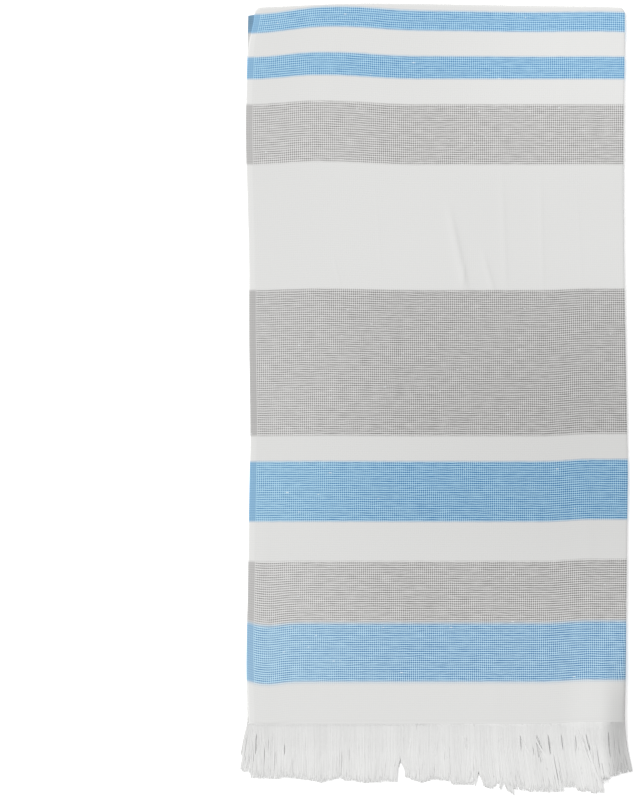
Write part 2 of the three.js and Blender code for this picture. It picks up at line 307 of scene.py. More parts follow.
def corner_drop(lay, u, inward):
    """How far the cross fold's ends are rounded off, as bells from the hem and the fold."""
    reach = lay.half_width - np.abs(u)
    outer = OUTER_HEM_CORNER.drop * bell(reach, OUTER_HEM_CORNER.spread)
    inner = INNER_HEM_CORNER.drop * bell(reach, INNER_HEM_CORNER.spread)
    at_fold = FOLD_CORNER.drop * bell(inward, FOLD_CORNER.spread)
    return np.where(u > 0, outer, inner) + at_fold


def lift(lay, across, down):
    """Gentle unevenness that lifts the upper layers: slow sine waves, and a bell at the
    free hems that swells and sinks along them."""
    swell = 1 + HEM_LIFT.change * np.sin(down / HEM_LIFT.along)
    total = LEAST_LIFT + HEM_LIFT.height * bell(across + lay.fold_across, HEM_LIFT.spread) * swell
    for height, wide, long, shift in WAVES:
        total = total + height * (1 + np.sin(across / wide + down / long + shift))
    return total


def crease_height(across, down):
    """The soft creases of the uppermost layer: each is a bell across its line, narrower on
    one side than on the other, and fades at both ends of the line."""
    total = np.zeros(np.broadcast(across, down).shape)
    for x0, y0, x1, y1, height, spread in CREASES:
        length = math.hypot(x1 - x0, y1 - y0)
        along = ((across - x0) * (x1 - x0) + (down - y0) * (y1 - y0)) / length
        beside = ((across - x0) * (y1 - y0) - (down - y0) * (x1 - x0)) / length
        side = np.where(beside > 0, CREASE_STEEP_SIDE, 1) * spread
        begin, whole, fade, end = (mark * length for mark in CREASE_ENDS)
        ends = smooth_step(along, begin, whole) * (1 - smooth_step(along, fade, end))
        share = 1 - CREASE_FINE.share if spread <= CREASE_FINE.spread else 1
        total = total + share * height * ends * bell(beside, side)
    return total


def folded_point(lay, u, v, creased=False):
    """Where points of the open cloth lie once it is folded, in millimetres.

    The lengthwise fold lays u as a pair of layers. The cross fold turns that pair round
    an axis, by half a circle. The edges then wander and the upper layers are lifted.
    """
    inward, rise = fold_lengthwise(lay, u, v)
    plain = lay.fold_across - inward
    from_axis = lay.cross + rise
    angle = np.clip(v / lay.cross, -math.pi / 2, math.pi / 2)
    straight = np.maximum(0, np.abs(v) - lay.quarter)
    fold_top = lay.cross + lay.pair - from_axis * np.cos(angle)
    drop = table_curve(CROSS_FOLD_DROP, 1, plain) + corner_drop(lay, u, inward)
    rise_side = FOLD_SIDE_RISE.size * smooth_step(plain, *FOLD_SIDE_RISE.across)
    rise_side = rise_side * smooth_step(v, *FOLD_SIDE_RISE.down)
    down = straight + fold_top + drop * bell(v, CROSS_FOLD_FADE) - rise_side
    hem_side = table_curve(EDGE_WANDER, 1, down) + hem_inset(u, v)
    fold_side = table_curve(EDGE_WANDER, 2, down)
    wander = fold_side + (hem_side - fold_side) * inward / lay.half_width
    height = lay.middle + from_axis * np.sin(angle)
    share = np.minimum(1, (height - lay.thick / 2) / lay.rise)
    height = height + share * lift(lay, plain, down)
    if creased:
        top = smooth_step(v, 2 * lay.quarter, 12 * lay.quarter) * smooth_step(u, 6, 30)
        height = height + top * crease_height(plain, down)
    return np.stack([plain + wander, -down, height], axis=-1)


def folded_normal(lay, u, v, creased=False):
    """The folded surface's outward direction: the cross product of its two slopes."""
    probe = 0.05
    along_u = folded_point(lay, u + probe, v, creased) - folded_point(lay, u - probe, v, creased)
    along_v = folded_point(lay, u, v + probe, creased) - folded_point(lay, u, v - probe, creased)
    normal = np.cross(along_u, along_v)
    return normal / np.linalg.norm(normal, axis=-1, keepdims=True)


def weft_place(lay, u, v):
    """Where the weave's pattern is read along v: the weft bows up as a cosine squared,
    dips beside the free hems as a bell, and slips over the fold at the inner hem."""
    inward, _ = fold_lengthwise(lay, u, v)
    across = lay.fold_across - inward
    reach = np.where(across < WEFT_ARCH.across, WEFT_ARCH.left, WEFT_ARCH.right)
    beside = np.minimum(1, np.abs(across - WEFT_ARCH.across) / reach)
    arch = WEFT_ARCH.height * np.cos(math.pi / 2 * beside) ** 2 * bell(v, WEFT_ARCH.fade)
    dip = WEFT_DIP.depth * bell(across - WEFT_DIP.across, WEFT_DIP.spread)
    dip = dip - WEFT_HEM_RISE.height * (1 - smooth_step(across, *WEFT_HEM_RISE.across))
    dip = dip * smooth_step(np.abs(v), *WEFT_LOW_DOWN)
    slip = INNER_WEFT_SLIP.size * bell(lay.half_width + u, INNER_WEFT_SLIP.across)
    slip = slip * bell(v, INNER_WEFT_SLIP.along)
    corner = OUTER_HEM_CORNER.drop * bell(lay.half_width - u, OUTER_HEM_CORNER.spread)
    corner = corner + FOLD_CORNER.drop * bell(inward, FOLD_CORNER.spread)
    corner = corner + WEFT_FOLD_RISE.height * smooth_step(across, *WEFT_FOLD_RISE.across)
    corner = corner * bell(v, CROSS_FOLD_FADE)
    return v + arch + slip + corner - np.sign(v) * dip


def in_frame(points):
    """Millimetres of the folded towel to metres of the frame."""
    return (points + np.array([*OUTLINE_SHIFT, 0.0])) * MM


def quad_mesh(name, points, quads, uvs):
    """A mesh of four-sided faces, with one UV for each point."""
    mesh = bpy.data.meshes.new(name)
    mesh.vertices.add(len(points))
    mesh.vertices.foreach_set("co", points.astype(np.float32).ravel())
    mesh.loops.add(quads.size)
    mesh.loops.foreach_set("vertex_index", quads.astype(np.int32).ravel())
    mesh.polygons.add(len(quads))
    mesh.polygons.foreach_set("loop_start", np.arange(0, quads.size, 4, dtype=np.int32))
    mesh.polygons.foreach_set("use_smooth", np.ones(len(quads), bool))
    layer = mesh.uv_layers.new(name="flat_cloth")
    layer.data.foreach_set("uv", uvs[quads.ravel()].astype(np.float32).ravel())
    mesh.update()
    mesh.validate()
    return mesh


def new_object(name, data, material=None):
    """Puts an object into the scene, at the frame's origin, and gives it its material."""
    thing = bpy.data.objects.new(name, data)
    bpy.context.scene.collection.objects.link(thing)
    if material:
        data.materials.append(material)
    return thing


def strip_quads(rows, columns, first, row_step, column_step):
    """Corner numbers of a grid of faces, from its first corner and its two steps."""
    row, column = np.meshgrid(np.arange(rows), np.arange(columns), indexing="ij")
    corner = (first + row * row_step + column * column_step).ravel()
    return np.stack(
        [corner, corner + column_step, corner + column_step + row_step, corner + row_step],
        axis=-1,
    )


def cloth_lines(lay, sizes):
    """The fine grid's u and v: close lines in the bends and at the hems, and closer on
    the uppermost layer than on those below it."""
    bend = sizes.bend_cells
    outer = np.interp(
        np.arange(sizes.cells_across + 1),
        np.array([0, 0.14, 0.24, 0.66, 0.93, 1]) * sizes.cells_across,
        [0, 50, 128, 212, lay.half_width - 12, lay.half_width],
    )
    inner = np.linspace(0, lay.half_width, sizes.cells_across // 3 + 1)
    front = np.interp(
        np.arange(sizes.cells_along + 1),
        [0, 0.03 * sizes.cells_along, 0.97 * sizes.cells_along, sizes.cells_along],
        [0, 9, lay.half_length - 9, lay.half_length],
    )
    back = np.linspace(0, lay.half_length, sizes.cells_along * 9 // 20 + 1)
    turn = np.arange(1, bend + 1) / bend

    def both_ways(less, more):
        """The lines on both sides of a fold, from the last one below it to the last above."""
        return np.concatenate([-1 - less[:0:-1], -turn[::-1], [0], turn, 1 + more[1:]])

    v = both_ways(back, front)
    past = lay.quarter + (np.abs(v) - 1) * (lay.half_length - lay.quarter) / lay.half_length
    v = np.sign(v) * np.where(np.abs(v) <= 1, np.abs(v) * lay.quarter, past)
    _, _, quarter = fold_size(lay, v[:, None])
    u = both_ways(inner, outer)[None, :]
    past = quarter + (np.abs(u) - 1) * (lay.half_width - quarter) / lay.half_width
    u = np.sign(u) * np.where(np.abs(u) <= 1, np.abs(u) * quarter, past)
    return u, np.broadcast_to(v[:, None], u.shape)


def cloth_mesh(sizes):
    """The cloth as one closed sheet: the folded surface moved out and in by half its
    thickness, which swells at the side hems, and a rim along its four edges."""
    lay = fold_layout(sizes)
    u, v = cloth_lines(lay, sizes)
    middle = folded_point(lay, u, v, creased=True)
    normal = folded_normal(lay, u, v, creased=True)
    hem = smooth_step(lay.half_width - np.abs(u), HEM_STRIP, HEM_STRIP - HEM_SWELL.step)
    edge = smooth_step(lay.half_width - np.abs(u), 0.0, EDGE_ROUND.reach)
    end = smooth_step(lay.half_length - np.abs(v), 0.0, EDGE_ROUND.reach)
    half = lay.thick / 2 * (HEM_SWELL.plain + HEM_SWELL.more * hem)
    half = half * (EDGE_ROUND.least + (1 - EDGE_ROUND.least) * edge * end)
    outside = middle + normal * half[..., None]
    inside = middle - normal * half[..., None]
    points = in_frame(np.concatenate([outside.reshape(-1, 3), inside.reshape(-1, 3)]))
    rows, columns = u.shape
    count = rows * columns
    outer = strip_quads(rows - 1, columns - 1, 0, columns, 1)
    inner = strip_quads(rows - 1, columns - 1, count, columns, 1)[:, ::-1]
    rims = [
        strip_quads(1, columns - 1, 0, count, 1)[:, ::-1],
        strip_quads(1, columns - 1, count - columns, count, 1),
        strip_quads(rows - 1, 1, 0, columns, count)[:, ::-1],
        strip_quads(rows - 1, 1, columns - 1, columns, count),
    ]
    quads = np.concatenate([outer, inner, *rims])
    flat = np.stack([u, weft_place(lay, u, v)], axis=-1).reshape(-1, 2) * MM
    return quad_mesh("woven_cloth", points, quads, np.concatenate([flat, flat]))


def lock_values(across, rows):
    """Each yarn's lock: its reach, its middle and how much its tips draw together."""
    begins = np.array([row[0] for row in rows], float)
    ends = np.append(begins[1:], 226.0)
    i = np.clip(np.searchsorted(begins, across, side="right") - 1, 0, len(rows) - 1)
    share = np.clip((across - begins[i]) / (ends[i] - begins[i]), 0, 1)
    table = np.array([row[1:] for row in rows], float)
    reach = table[i, 0] + share * (table[i, 1] - table[i, 0])
    return reach, (begins[i] + ends[i]) / 2, table[i, 2]


def hidden_locks(rng):
    """Locks of random widths for the layers that lie below, a little shorter."""
    begins = np.cumsum(rng.uniform(9, 22, 40)) - 236
    begins = begins[begins < 222]
    rows = []
    for begin in begins:
        reach, _, gather = lock_values(np.array([begin]), LOCKS)
        least = float(reach[0]) - rng.uniform(11, 19)
        rows.append((begin, least, least + rng.uniform(-3, 2), float(gather[0]) + 0.04))
    rows[0] = (-240, *rows[0][1:])
    return rows


def parted(x, out, partings):
    """How far the partings push yarns aside: each keeps a yarn on the side of its line
    where the yarn enters it, at about half its width away, and pushes it less and less
    with the distance."""
    push = np.zeros_like(x)
    for across, width, begin, end, slant in partings:
        beside = x - (across + slant * (out - begin))
        enters = np.argmin(np.abs(out - begin), axis=1)[:, None]
        side = np.where(np.take_along_axis(beside, enters, axis=1) < 0, -1.0, 1.0)
        kept = np.maximum(side * beside, 0)
        eased = 0.25 * (end - begin)
        here = smooth_step(out, begin, begin + eased) * (1 - smooth_step(out, end - eased, end))
        wanted = kept + width / 2 * bell(kept, 2.2 * width)
        near = bell(beside, 4 * width)
        push = push + here * near * side * (wanted - side * beside)
    return push


def yarn_steps(steps):
    """Places along a yarn, from 0 to 1: even, but for a close pair at each end, which
    keeps the shading of the end caps short."""
    return np.concatenate([[0, 0.018], np.linspace(0.05, 0.985, steps - 3), [1]])


def settled(fringe, out):
    """The share of its height that a yarn keeps, by a step from its root towards its tip."""
    return 1 - fringe.settle * smooth_step(out, *YARN_SETTLE)


def yarn_paths(sizes, fringe, end, seed):
    """Centre lines of one end's fringe, in millimetres, as yarns by points by xyz.

    A yarn runs on from the cloth in its folds, leans sideways, waves a little, draws
    towards its lock's middle, gives way at partings, and settles on what is below it. Each
    yarn's tone is given too, with painted shade on the upper yarns near the lengthwise fold.
    """
    rng = np.random.default_rng(seed)
    lay = fold_layout(sizes)
    each = (fringe.yarns, 1)
    over = round(fringe.yarns * (UPPER_SHARE if end > 0 else 0.5))
    under = np.linspace(-lay.half_width + 0.5, -0.2, fringe.yarns - over)
    root = np.concatenate([under, np.linspace(0.2, lay.half_width - 0.5, over)])[:, None]
    root = root + rng.uniform(-0.12, 0.12, each)
    across = lay.fold_across - fold_lengthwise(lay, root, end * lay.half_length)[0]
    upper = (root > 0) & (end > 0)
    locks = zip(lock_values(across, LOCKS), lock_values(across, hidden_locks(rng)))
    reach, middle, gather = (np.where(upper, *values) for values in locks)
    reach = reach * (1 - 0.05 * rng.random(each) ** 2) - 0.9 * rng.random(each)
    short = rng.random(each) < 0.05
    reach = np.where(short, reach * rng.uniform(0.72, 0.94, each), reach)
    share = yarn_steps(fringe.steps)
    out = share * reach
    run = lay.half_length + out - YARN_INSET
    points = folded_point(lay, root + 0 * out, end * run)

    lean = table_curve(LEANS, 1, across) + rng.normal(0, 0.35, each)
    lean = lean * np.where(upper, 1, rng.uniform(0.5, 1.1, each))
    means = [((a[0] + b[0]) / 2, (a[1] + a[2]) / 2) for a, b in zip(LOCKS, LOCKS[1:])]
    side = lean * (out / table_curve(means, 1, across)) ** np.where(lean < 0, 0.7, 1.7)
    side = side + (middle - across) * gather * share**1.6
    phase = rng.uniform(0, 2 * math.pi, (fringe.yarns, 2))
    waver = rng.gamma(1.6, 0.17, each) * share**0.8
    side = side + waver * np.sin(out / rng.uniform(6, 13, each) + phase[:, :1])
    side = side + 0.7 * share * np.sin(across / 7.3 + 1.3) * np.sin(out / 17 + across / 31)
    stray = (rng.random(each) < 0.025) * rng.normal(0, 5, each)
    points[..., 0] += side + stray * share**2
    shown = parted(points[..., 0], out, PARTINGS)
    through = parted(points[..., 0], out, [row for row in PARTINGS if row[3] > OPEN_PARTING])
    points[..., 0] += np.where(upper, shown, through)

    level = np.resize(YARN_LEVELS, each) * fringe.depth / MM + rng.normal(0, 0.05, each)
    loose = 0.15 * np.sin(out / 15 + across / 9 + phase[:, 1:] * 0.12)
    height = level * smooth_step(out, 4, 20) + (loose + 0.03 * np.abs(stray)) * share
    height = points[..., 2] + height + 0.21 * smooth_step(out, 0, 1)
    height = height * settled(fringe, out)
    if end > 0:
        above = folded_point(lay, np.abs(root) + 0 * out, run)[..., 2]
        above = above * settled(fringe, out) - 0.75 * lay.thick
        rising = 0.95 * smooth_step(out, 0, 16) * np.maximum(above - height, 0)
        height = height + np.where(root < 0, rising, 0)
    points[..., 2] = np.maximum(height, fringe.yarn_height / MM / 2 + 0.02)
    tone = 0.5 + 0.5 * np.clip(rng.normal(0, 0.45, each) + 0.4 * np.sin(across / 5.1), -1, 1)
    # Painted shade: the upper yarns that come from the roll at the lengthwise fold are darker
    roll_shade = (1 - smooth_step(root, 14, 34)) * (0.6 + 0.4 * smooth_step(root, 0, 14))
    return points, out, tone - 3.3 * roll_shade * (root > 0)


def crossing_paths(sizes, fringe):
    """Bundles that lie over the rest: each yarn is a shallow curve from one end to the
    other, raised over the fringe below by its own thickness."""
    rng = np.random.default_rng(41)
    lay = fold_layout(sizes)
    paths, outs = [], []
    share = yarn_steps(fringe.steps)
    for x0, out0, x1, out1, yarns, width in CROSSINGS:
        for spread in np.linspace(-0.5, 0.5, yarns):
            out = out0 + (out1 - out0) * share + rng.uniform(-1, 1)
            bowed = x0 + (x1 - x0) * share**1.25 + spread * width * (0.6 + 0.6 * share)
            point = folded_point(lay, lay.fold_across - bowed, lay.half_length + out)
            point[:, 0] = bowed + rng.normal(0, 0.1)
            point[:, 2] += 1.4 * np.sin(math.pi * share) ** 0.7 - 1.0 + rng.uniform(0, 0.15)
            point[:, 2] *= settled(fringe, out)
            paths.append(point)
            outs.append(out)
    return np.array(paths), np.array(outs), np.full((len(paths), 1), 0.9)


def tube_mesh(name, paths, outs, tones_and_shade, half_size):
    """Flat tubes along centre lines: at each point a ring of four corners stands square to
    the path, on the upper half of an ellipse with a flat lower side. The section's width
    narrows to about half at the tip, and caps close both ends."""
    count, steps, _ = paths.shape
    along = np.gradient(paths, axis=1)
    along /= np.linalg.norm(along, axis=-1, keepdims=True)
    beside = np.cross(along, [0.0, 0.0, 1.0])
    beside /= np.linalg.norm(beside, axis=-1, keepdims=True)
    above = np.cross(beside, along)
    size = 1 - 0.45 * smooth_step(yarn_steps(steps)[:, None, None], 0.90, 1.0)
    ring = np.arange(YARN_SIDES)
    angle = math.pi * ring / (YARN_SIDES - 1)
    wide = half_size[0] * np.cos(angle)[:, None]
    high = half_size[1] * (np.sin(angle)[:, None] - 0.5)
    turn = size * wide * beside[:, :, None] + high * above[:, :, None]
    points = (paths[:, :, None] + turn).reshape(-1, 3)
    base = (np.arange(count)[:, None] * steps + np.arange(steps - 1)).reshape(-1, 1) * YARN_SIDES
    here, beyond = base + ring, base + (ring + 1) % YARN_SIDES
    walls = np.stack([here + YARN_SIDES, beyond + YARN_SIDES, beyond, here], axis=-1)
    first = np.arange(count)[:, None] * steps * YARN_SIDES
    last = first + (steps - 1) * YARN_SIDES
    quads = np.concatenate([walls.reshape(-1, 4), first + ring, last + ring[::-1]])
    flat = np.empty((count, steps, YARN_SIDES, 2))
    flat[..., 0] = ring / YARN_SIDES
    flat[..., 1] = outs[:, :, None] * MM
    mesh = quad_mesh(name, in_frame(points), quads, flat.reshape(-1, 2))
    # Each yarn's tone, with the painted shade near the lengthwise fold, kept on its points
    tone = mesh.attributes.new("yarn_tone_and_shade", "FLOAT", "POINT")
    tone.data.foreach_set("value", np.repeat(tones_and_shade, steps * YARN_SIDES).astype(np.float32))
    return mesh


class NodeBuilder:
    """Adds nodes to a tree and links them, in a few words."""

    def __init__(self, tree):
        self.tree = tree

    def add(self, kind, **settings):
        """A new shader node with its settings."""
        node = self.tree.nodes.new("ShaderNode" + kind)
        for key, value in settings.items():
            setattr(node, key, value)
        return node

    def feed(self, socket, value):
        """Links a socket to another, or sets its value."""
        if isinstance(value, bpy.types.NodeSocket):
            self.tree.links.new(value, socket)
        else:
            socket.default_value = value

    def run(self, node, *values):
        """Feeds a node's inputs in their order, and gives its first output."""
        for socket, value in zip(node.inputs, values):
            self.feed(socket, value)
        return node.outputs[0]

    def named(self, node, values):
        """Feeds a node's inputs by their names, and gives its outputs."""
        for label, value in values.items():
            self.feed(node.inputs[label], value)
        return node.outputs

    def math(self, operation, *values, clamp=False):
        """The result of one Math node."""
        return self.run(self.add("Math", operation=operation, use_clamp=clamp), *values)

    def plus(self, a, b, clamp=False):
        """The sum of two values."""
        return self.math("ADD", a, b, clamp=clamp)

    def minus(self, a, b):
        """The difference of two values."""
        return self.math("SUBTRACT", a, b)

    def times(self, a, b):
        """The product of two values."""
        return self.math("MULTIPLY", a, b)

    def dot(self, a, b):
        """The dot product of two vectors."""
        node = self.add("VectorMath", operation="DOT_PRODUCT")
        self.run(node, a, b)
        return node.outputs["Value"]

    def split(self, vector):
        """The three parts of a vector."""
        node = self.add("SeparateXYZ")
        self.run(node, vector)
        return node.outputs

    def vector(self, x, y, z=0.0):
        """A vector from three values."""
        return self.run(self.add("CombineXYZ"), x, y, z)

    def span(self, value, low, high, to_low=0.0, to_high=1.0, smooth=False):
        """A value mapped from one range to another, held at both ends."""
        kind = "SMOOTHSTEP" if smooth else "LINEAR"
        node = self.add("MapRange", interpolation_type=kind)
        return self.run(node, value, low, high, to_low, to_high)

    def ease(self, *span):
        """A span with a smooth start and end."""
        return self.span(*span, smooth=True)

    def peak(self, value, low, middle, high):
        """0 up to low and from high on, and 1 at the middle, which are in millimetres."""
        rise = self.span(value, low * MM, middle * MM)
        return self.times(rise, self.span(value, high * MM, middle * MM))

    def shade(self, tone, mask, reached):
        """A tone times another that is 1 where the mask is 0, and reached where it is 1."""
        return self.times(tone, self.span(mask, 0.0, 1.0, 1.0, reached))

    def mix(self, factor, a, b, blend="MIX"):
        """Two colours mixed."""
        node = self.add("Mix", data_type="RGBA", blend_type=blend)
        for place, value in ((0, factor), (6, a), (7, b)):
            self.feed(node.inputs[place], value)
        return node.outputs[2]

    def tinted(self, colour, tone):
        """A colour times a tone."""
        return self.mix(1.0, colour, self.vector(tone, tone, tone), "MULTIPLY")

    def noise(self, vector, scale, detail=2.0, roughness=0.5):
        """Smooth noise from 0 to 1, mostly near the middle."""
        given = {"Vector": vector, "Scale": scale, "Detail": detail, "Roughness": roughness}
        return self.named(self.add("TexNoise"), given)["Fac"]

    def bump(self, height, strength, distance, **normal):
        """A normal turned by a height."""
        given = {"Strength": strength, "Distance": distance, "Height": height, **normal}
        return self.named(self.add("Bump"), given)["Normal"]

    def group(self, name, **values):
        """The outputs of a shared node group, made once, that is given its own values."""
        tree = bpy.data.node_groups.get(name) or GROUPS[name]()
        values = {label.replace("_", " "): value for label, value in values.items()}
        return self.named(self.add("Group", node_tree=tree), values)


def new_group(name, inputs, outputs):
    """An empty shader node group, its builder, what it is given and what it puts out. An
    input without a value is a vector, and all other sockets are floats."""
    group = bpy.data.node_groups.new(name, "ShaderNodeTree")
    for label, value in inputs.items():
        kind = "NodeSocketVector" if value is None else "NodeSocketFloat"
        socket = group.interface.new_socket(label, in_out="INPUT", socket_type=kind)
        if value is not None:
            socket.default_value = value
    for label in outputs:
        group.interface.new_socket(label, in_out="OUTPUT", socket_type="NodeSocketFloat")
    given = group.nodes.new("NodeGroupInput").outputs
    return group, NodeBuilder(group), given, group.nodes.new("NodeGroupOutput").inputs


def weave_group():
    """Plain weave with thick wefts: rows and columns of light threads with hollows
    between them, in patches that favour one or the other. It puts out the light threads'
    share, which is the surface height too."""
    group, build, given, out = new_group(
        "plain_weave",
        {"Cloth Place": None, "Warp Pitch": 0.0024, "Weft Pitch": 0.0027, "Unevenness": 0.62},
        ["Light Threads"],
    )
    place = given["Cloth Place"]
    u, v, _ = build.split(place)
    along = build.math("ABSOLUTE", v)
    drift = build.times(build.minus(build.noise(place, 55.0), 0.5), 0.0013)
    waves = []
    for measure, pitch in ((u, "Warp Pitch"), (v, "Weft Pitch")):
        turns = build.math("DIVIDE", build.plus(measure, drift), given[pitch])
        wave = build.math("SINE", build.times(turns, 2 * math.pi))
        waves.append(build.span(wave, -0.55, 0.55))
    columns, rows = waves
    patches = build.plus(build.noise(place, 54.0), build.span(along, 0.20, 0.62, 0.035, -0.05))
    rows = build.times(rows, build.span(patches, 0.36, 0.64, 0.88, 0.60))
    columns = build.times(columns, build.span(patches, 0.34, 0.58, 0.34, 0.66))
    yarns = build.noise(build.vector(build.times(u, 0.18), v), 420.0)
    uneven = build.times(build.minus(yarns, 0.5), given["Unevenness"])
    light = build.plus(build.times(build.plus(rows, columns), 0.835), uneven)
    contrast = build.span(along, 0.05, 0.50, 0.84, 1.32)
    light = build.plus(build.times(build.minus(light, 0.5), contrast), 0.5, clamp=True)
    build.feed(out["Light Threads"], light)
    return group


def creases_group():
    """The fine part of the soft creases: for each, a bell across its line that is narrower
    on one side, and fades at both ends. The height is in millimetres."""
    group, build, given, out = new_group(
        "soft_creases", {"Cloth Place": None, "Half Width": 0.224}, ["Height"]
    )
    u, v, _ = build.split(given["Cloth Place"])
    place = build.vector(build.minus(given["Half Width"], u), v)
    total = 0.0
    for x0, y0, x1, y1, height, spread in CREASES:
        if spread > CREASE_FINE.spread:
            continue
        length = math.hypot(x1 - x0, y1 - y0)
        line = Vector((x1 - x0, y1 - y0, 0)) / length
        square = Vector((line.y, -line.x, 0))
        start = Vector((x0, y0, 0))
        along, beside = build.dot(place, line), build.dot(place, square)
        marks = [(start.dot(line) + share * length) * MM for share in CREASE_ENDS]
        ends = build.times(build.ease(along, *marks[:2]), build.ease(along, marks[3], marks[2]))
        middle = start.dot(square)
        steep = build.span(beside, middle * MM, (middle + CREASE_STEEP_SIDE * spread) * MM)
        gentle = build.span(beside, middle * MM, (middle - spread) * MM)
        away = build.plus(steep, gentle)
        shape = build.ease(away, 0.0, 1.0, CREASE_FINE.share * height, 0.0)
        total = build.plus(total, build.times(shape, ends))
    build.feed(out["Height"], total)
    return group


def bands_group():
    """The woven bands by the distance from the cross fold: the shares of blue and grey
    yarn and the band's tone, with edges that waver by the width of a thread."""
    group, build, given, out = new_group(
        "woven_bands", {"Cloth Place": None, "Waver": 0.0009}, ["Blue", "Grey", "Tone"]
    )
    _, v, _ = build.split(given["Cloth Place"])
    waver = build.minus(build.noise(given["Cloth Place"], 120.0), 0.5)
    place = build.plus(build.math("ABSOLUTE", v), build.times(waver, given["Waver"]))
    ramp = build.add("ValToRGB")
    stops = ramp.color_ramp.elements
    stops[0].position, stops[0].color = 0.0, (*BANDS[0][1:], 1)
    stops.remove(stops[1])
    for before, after in zip(BANDS, BANDS[1:]):
        stops.new((after[0] - BAND_EDGE) / BAND_SPAN).color = (*before[1:], 1)
        stops.new((after[0] + BAND_EDGE) / BAND_SPAN).color = (*after[1:], 1)
    shares = build.add("SeparateColor")
    build.run(shares, build.run(ramp, build.math("DIVIDE", place, BAND_SPAN * MM)))
    for label, socket in zip(("Blue", "Grey", "Tone"), shares.outputs):
        build.feed(out[label], socket)
    return group


def fuzz_group():
    """Short cotton fibres: fine noise in two scales, as a tone and as a height."""
    group, build, given, out = new_group(
        "cotton_fuzz", {"Place": None, "Scale": 900.0, "Strength": 0.05}, ["Tone", "Height"]
    )
    fine = build.noise(given["Place"], given["Scale"], 3.0, 0.6)
    broad = build.noise(given["Place"], 14.0)
    both = build.plus(build.times(fine, 0.7), build.times(broad, 0.3))
    tone = build.times(build.minus(both, 0.5), given["Strength"])
    build.feed(out["Tone"], build.plus(tone, 1.0))
    build.feed(out["Height"], fine)
    return group


GROUPS = {
    "plain_weave": weave_group,
    "soft_creases": creases_group,
    "woven_bands": bands_group,
    "cotton_fuzz": fuzz_group,
}


def new_material(name, roughness, sheen):
    """A material with its shader, set for matt cotton, and its builder."""
    material = bpy.data.materials.new(name)
    material.use_nodes = True
    build = NodeBuilder(material.node_tree)
    shader = material.node_tree.nodes["Principled BSDF"]
    shader.inputs["Roughness"].default_value = roughness
    shader.inputs["Sheen Weight"].default_value = sheen
    shader.inputs["Sheen Roughness"].default_value = 0.6
    shader.inputs["Specular IOR Level"].default_value = 0.25
    return material, build, shader


def cloth_material(colours, sizes):
    """Striped cotton: coloured weft under white threads, plain side hems, thick and thin
    places in the yarn, a line along the hems and at both ends, and painted light and shade
    in four places."""
    material, build, shader = new_material("striped_cotton", 0.92, 0.12)
    place = build.add("UVMap", uv_map="flat_cloth").outputs["UV"]
    u, v, _ = build.split(place)
    across, along = build.math("ABSOLUTE", u), build.math("ABSOLUTE", v)
    to_hem = build.minus(sizes.width / 2, across)
    to_end = build.minus(sizes.length / 2, along)
    threads = build.group("plain_weave", Cloth_Place=place)["Light Threads"]
    band = build.group("woven_bands", Cloth_Place=place)
    coloured = build.plus(band["Blue"], band["Grey"], clamp=True)
    fibres = build.group("cotton_fuzz", Place=place, Scale=1100.0, Strength=0.05)
    hem = build.span(to_hem, (HEM_STRIP + 0.5) * MM, (HEM_STRIP - 0.5) * MM)
    line = build.peak(to_hem, HEM_STRIP - 0.9, HEM_STRIP, HEM_STRIP + 0.9)
    seam = build.peak(to_end, END_BAND - 1.0, END_BAND, END_BAND + 1.4)
    ridge = build.span(to_end, 0.8 * END_BAND * MM, 0.4 * END_BAND * MM)

    paler = build.span(along, 0.05, 0.52, 0.06, 0.15)
    paler = build.times(build.ease(across, 0.24, 0.44), paler)
    light = build.plus(threads, paler, clamp=True)
    light = build.mix(build.times(hem, 0.8), light, HEM_LIGHT)
    light = build.mix(build.times(line, 0.6), light, WHITE)
    blue = build.mix(light, (*colours.deep_blue, 1), (*colours.light_blue, 1))
    grey = build.mix(light, (*colours.deep_grey, 1), (*colours.light_grey, 1))
    faint = build.shade(build.span(threads, 0.0, 1.0, 0.985, 1.01), hem, 1.045)
    colour = build.mix(band["Blue"], build.tinted((*colours.white, 1), faint), blue)
    colour = build.mix(band["Grey"], colour, grey)
    slubs = build.noise(build.vector(build.times(u, 0.32), v), 430.0, 0.0)
    slubs = build.times(build.span(slubs, 0.84, 0.87, 0.0, 0.7), coloured)
    colour = build.mix(slubs, colour, SLUB_COLOUR)

    tone = build.times(band["Tone"], fibres["Tone"])
    for mask, reached in ((line, 0.985), (seam, 0.975), (ridge, 1.03)):
        tone = build.shade(tone, mask, reached)
    # Painted light and shade on the cloth, from the table of them
    measures = {"u": u, "v": v, "across": across, "along": along}
    for reached, *ramps in PAINTED_LIGHT_AND_SHADE:
        masks = [
            build.span(measures[measure], none, full, least, 1.0, smooth)
            for measure, none, full, least, smooth in ramps
        ]
        tone = build.shade(tone, reduce(build.times, masks), reached)
    build.feed(shader.inputs["Base Color"], build.tinted(colour, tone))

    height = build.times(threads, build.span(coloured, 0.0, 1.0, 0.22, 1.0))
    height = build.times(height, build.minus(1.0, hem))
    height = build.plus(height, build.times(fibres["Height"], 0.30))
    height = build.minus(height, build.times(line, 0.35))
    height = build.minus(height, build.times(seam, 0.5))
    pressed = build.group("soft_creases", Cloth_Place=place, Half_Width=sizes.width / 4)
    soft = build.bump(pressed["Height"], 1.0, MM)
    build.feed(shader.inputs["Normal"], build.bump(height, 0.55, 0.0004, Normal=soft))
    rough = build.span(fibres["Height"], 0.3, 0.7, 0.88, 0.97)
    build.feed(shader.inputs["Roughness"], rough)
    return material


